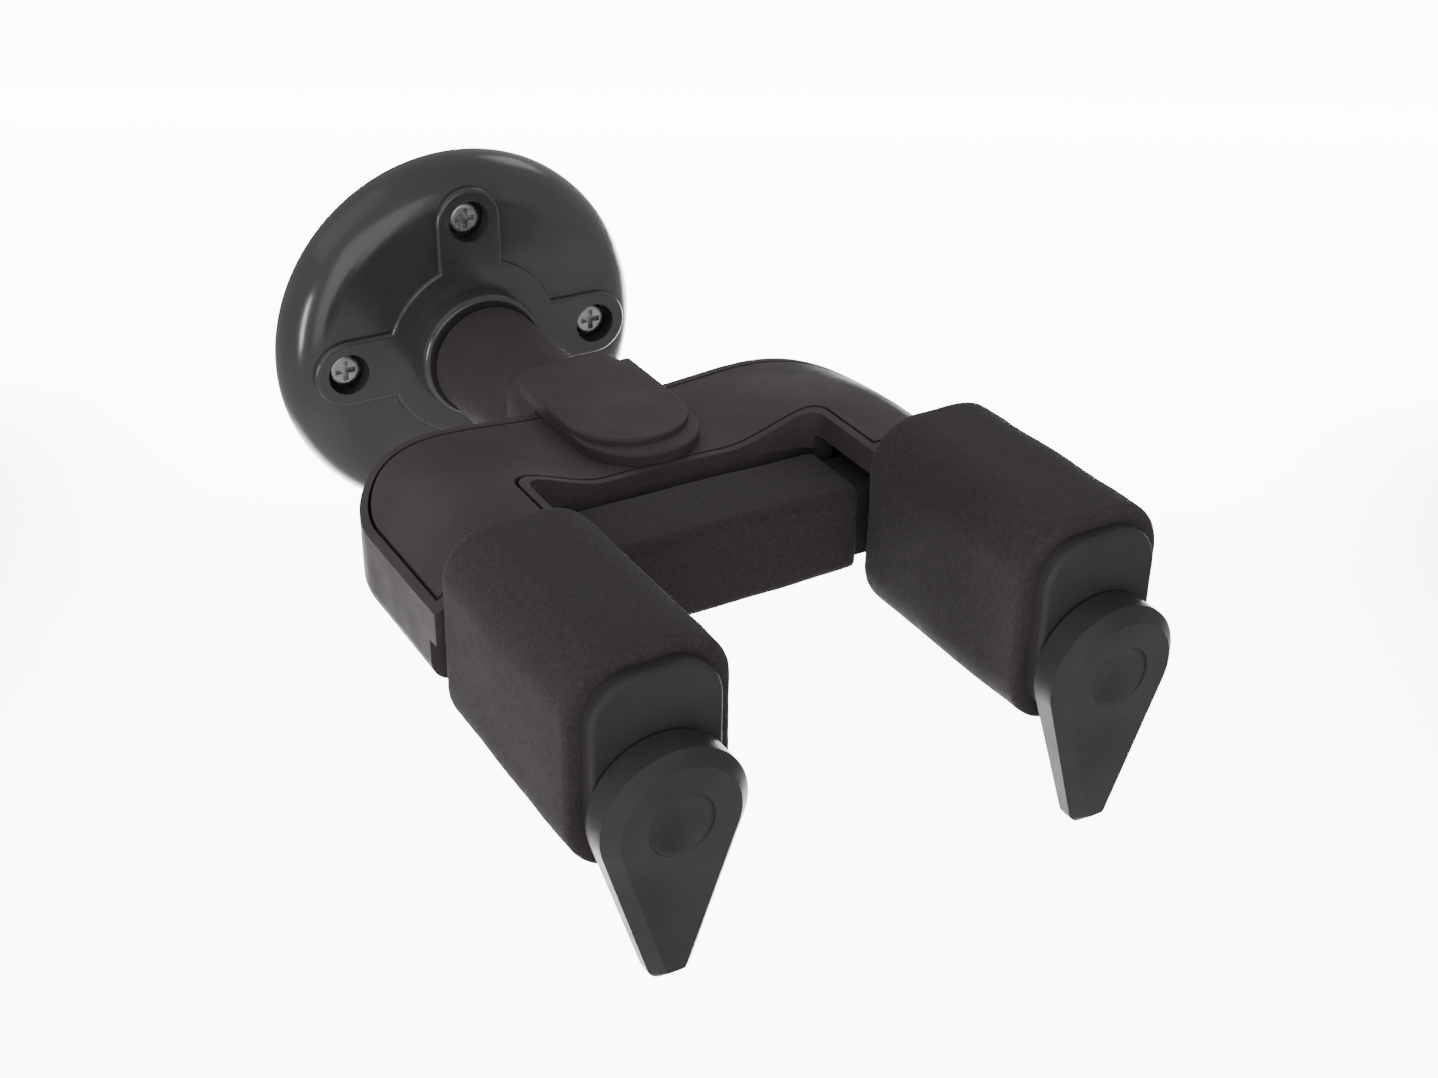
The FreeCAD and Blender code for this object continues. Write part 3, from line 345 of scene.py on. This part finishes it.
def foam_sleeve(side):
    """The foam sleeve of an arm: slightly barrelled, soft at both cut ends, with a fine open grain."""
    low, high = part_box(f"foam_sleeve_{side}")
    middle = (low + high) / 2
    half_a, half_b = (high.x - low.x) / 2, (high.z - low.z) / 2
    bore_a, bore_b = half_a - FOAM_THICK, half_b - FOAM_THICK
    front, rear = low.y, high.y - FOAM_CLEARANCE
    loops = []

    def loop(inset, y, bulge):
        """One ring: inset from the outer surface, at a depth y, swollen by bulge."""
        share = min(1.0, max(0.0, inset / FOAM_THICK))
        corner = FOAM_CORNER + (CORE_CORNER - FOAM_CORNER) * share
        size_a = half_a + (bore_a - half_a) * share + bulge
        size_b = half_b + (bore_b - half_b) * share + bulge
        ring = rounded_loop(size_a, size_b, corner, 14, 16, 22)
        loops.append([Vector((middle.x + a, y, middle.z + b)) for a, b in ring])

    steps_lip = 6
    for step in range(steps_lip + 1):
        angle = step / steps_lip * math.pi / 2
        loop(FOAM_LIP * (1 - math.sin(angle)), front + FOAM_LIP * (1 - math.cos(angle)), 0.0)
    steps_long = 56
    for step in range(1, steps_long):
        share = step / steps_long
        y = front + FOAM_LIP + share * (rear - front - FOAM_LIP - FOAM_REAR_LIP)
        loop(0.0, y, FOAM_CROWN * math.sin(math.pi * share) ** 0.7)
    for step in range(steps_lip + 1):
        angle = (1 - step / steps_lip) * math.pi / 2
        loop(FOAM_REAR_LIP * (1 - math.sin(angle)), rear - FOAM_REAR_LIP * (1 - math.cos(angle)), 0.0)
    for step in range(1, 5):
        loop(FOAM_REAR_LIP + (FOAM_THICK - FOAM_REAR_LIP) * step / 4, rear, 0.0)
    for step in range(1, 12):
        loop(FOAM_THICK, rear + (front - rear) * step / 12, 0.0)
    for step in range(5):
        loop(FOAM_THICK + (FOAM_LIP - FOAM_THICK) * step / 5, front, 0.0)
    vertices, faces = skin_loops(loops)
    piece = new_piece(f"foam_arm_{side}", vertices, faces, MATERIALS["arm_foam"])
    mesh = piece.data
    normals = [Vector(v.normal) for v in mesh.vertices]
    seed = 1 + SIDES.index(side)
    moved = roughen(vertices, normals, 90.0, FOAM_DENTS, seed)
    moved = roughen(moved, normals, 700.0, FOAM_PEBBLES, seed + 5)
    mesh.vertices.foreach_set("co", [part for v in moved for part in v])
    mesh.update()
    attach(piece, "cradle")
    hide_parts(f"foam_sleeve_{side}")


for arm_side in SIDES:
    foam_sleeve(arm_side)


# ---------------------------------------------------------------- crossbar foam

BAR_CORNER = 1.8 * MM
BAR_SMALLEST_CORNER = 0.4 * MM
BAR_THICK = 1.6 * MM
BAR_LIP = 0.7 * MM
BAR_SWELL = 0.25 * MM
BAR_DENTS = 0.15 * MM


def crossbar_foam():
    """The foam round the crossbar: a softly rounded sleeve that is a little fuller at its middle."""
    low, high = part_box("crossbar_pad")
    middle = (low + high) / 2
    half_y, half_z = (high.y - low.y) / 2, (high.z - low.z) / 2
    loops = []

    def loop(inset, x, bulge):
        """One ring across the bar, inset from its surface."""
        corner = max(BAR_SMALLEST_CORNER, BAR_CORNER - inset)
        ring = rounded_loop(half_y - inset + bulge, half_z - inset + bulge, corner, 8, 12, 12)
        loops.append([Vector((x, middle.y + a, middle.z + b)) for a, b in ring])

    for step in range(5):
        angle = step / 4 * math.pi / 2
        loop(BAR_LIP * (1 - math.sin(angle)), low.x + BAR_LIP * (1 - math.cos(angle)), 0.0)
    steps_long = 60
    for step in range(1, steps_long):
        share = step / steps_long
        x = low.x + BAR_LIP + share * (high.x - low.x - 2 * BAR_LIP)
        loop(0.0, x, BAR_SWELL * math.sin(math.pi * share))
    for step in range(5):
        angle = (1 - step / 4) * math.pi / 2
        loop(BAR_LIP * (1 - math.sin(angle)), high.x - BAR_LIP * (1 - math.cos(angle)), 0.0)
    for step in range(9):
        loop(BAR_THICK, high.x + (low.x - high.x) * step / 8, 0.0)
    vertices, faces = skin_loops(loops)
    flipped = [tuple(reversed(face)) for face in faces]
    piece = new_piece("foam_crossbar", vertices, flipped, MATERIALS["arm_foam"])
    mesh = piece.data
    normals = [Vector(v.normal) for v in mesh.vertices]
    moved = roughen(vertices, normals, 110.0, BAR_DENTS, 3)
    mesh.vertices.foreach_set("co", [part for v in moved for part in v])
    mesh.update()
    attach(piece, "cradle")
    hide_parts("crossbar_pad")


crossbar_foam()


# ---------------------------------------------------------------- return springs

SPRING_TURNS = 4
SPRING_WIRE = 0.35 * MM


def return_spring(side):
    """A coil of wire in the place of the CAD spring, between the cradle and the lid; it is built once, at
    rest, and doesn't shorten as the cradle tilts.
    """
    low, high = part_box(f"return_spring_{side}")
    middle = (low + high) / 2
    coil = (high.x - low.x) / 2 - SPRING_WIRE
    bottom, top = low.z + SPRING_WIRE, high.z - SPRING_WIRE
    steps, around = 28 * SPRING_TURNS, 8
    vertices = []
    for step in range(steps + 1):
        angle = 2 * math.pi * SPRING_TURNS * step / steps
        outwards = Vector((math.cos(angle), math.sin(angle), 0.0))
        centre = Vector((middle.x, middle.y, bottom + (top - bottom) * step / steps)) + outwards * coil
        for point in range(around):
            turn = 2 * math.pi * point / around
            vertices.append(centre + outwards * SPRING_WIRE * math.cos(turn)
                            + Vector((0, 0, SPRING_WIRE * math.sin(turn))))
    faces = [tuple(range(around)), tuple(reversed(range(steps * around, (steps + 1) * around)))]
    for step in range(steps):
        for point in range(around):
            beside = (point + 1) % around
            faces.append((step * around + beside, step * around + point,
                          (step + 1) * around + point, (step + 1) * around + beside))
    piece = new_piece(f"coil_{side}", vertices, faces, MATERIALS["machined_steel"])
    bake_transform(piece)
    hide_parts(f"return_spring_{side}")


for spring_side in SIDES:
    return_spring(spring_side)


# ---------------------------------------------------------------- studio

FLOOR_LEVEL = -0.5
FLOOR_LIGHT_HEIGHT = 0.2


def add_plane(name, size, place, color):
    """A large flat backdrop that isn't part of the object."""
    half = size / 2
    mesh = bpy.data.meshes.new(name)
    mesh.from_pydata([(-half, -half, 0), (half, -half, 0), (half, half, 0), (-half, half, 0)], [],
                     [(0, 1, 2, 3)])
    shader = Shader(name, color, 0.9)
    mesh.materials.append(shader.material)
    plane = bpy.data.objects.new(name, mesh)
    plane.location = place
    bpy.context.scene.collection.objects.link(plane)


def add_light(name, place, target, size, power, color=(1.0, 1.0, 1.0), turn=0.0, spread=180.0):
    """A soft rectangular light that faces a point, turned about the line to it. Angles in degrees."""
    data = bpy.data.lights.new(name, "AREA")
    data.shape = "RECTANGLE"
    data.size, data.size_y = size
    data.spread = math.radians(spread)
    data.energy = power
    data.color = color
    light = bpy.data.objects.new(name, data)
    light.location = place
    facing = (Vector(target) - Vector(place)).to_track_quat("-Z", "Y").to_matrix()
    light.rotation_euler = (facing @ Matrix.Rotation(math.radians(turn), 3, "Z")).to_euler()
    bpy.context.scene.collection.objects.link(light)


def light_floor(name, distance, size, power):
    """Lights the floor behind the hanger from just above it, so that none of it falls on the hanger."""
    ahead = Vector((-math.sin(CAMERA_AZIMUTH), math.cos(CAMERA_AZIMUTH), 0.0))
    spot = Vector((CAMERA_PLACE.x, CAMERA_PLACE.y, FLOOR_LEVEL)) + ahead * distance
    turn = math.degrees(CAMERA_AZIMUTH)
    add_light(name, spot + Vector((0, 0, FLOOR_LIGHT_HEIGHT)), spot, size, power, turn=turn, spread=100.0)


def build_studio():
    """A white studio: a pale floor lit behind the hanger, a soft surround, soft fills and a side strip."""
    middle = (0.0, -0.08, 0.0)
    add_plane("floor", 12.0, (0.0, 0.0, FLOOR_LEVEL), (0.9, 0.9, 0.9))
    world = bpy.data.worlds.new("white_room")
    world.use_nodes = True
    world.node_tree.nodes["Background"].inputs["Color"].default_value = (1.0, 1.0, 1.0, 1.0)
    world.node_tree.nodes["Background"].inputs["Strength"].default_value = 0.66
    bpy.context.scene.world = world
    light_floor("floor_light_near", 0.95, (1.0, 0.85), 29.0)
    light_floor("floor_light_middle", 1.7, (2.0, 0.8), 66.0)
    light_floor("floor_light_far", 2.6, (3.0, 1.1), 135.0)
    add_light("side_strip", (-0.75, -0.34, 0.0), middle, (0.08, 0.32), 2.4)
    add_light("front_fill", (-0.35, -1.3, 0.25), middle, (1.2, 1.2), 7.5)
    add_light("top_fill", (-0.6, 0.05, 0.8), middle, (0.8, 0.8), 1.0)
    add_light("rim", (0.5, 0.25, 0.45), middle, (0.25, 0.25), 0.4, (1.0, 0.98, 0.95))


build_studio()
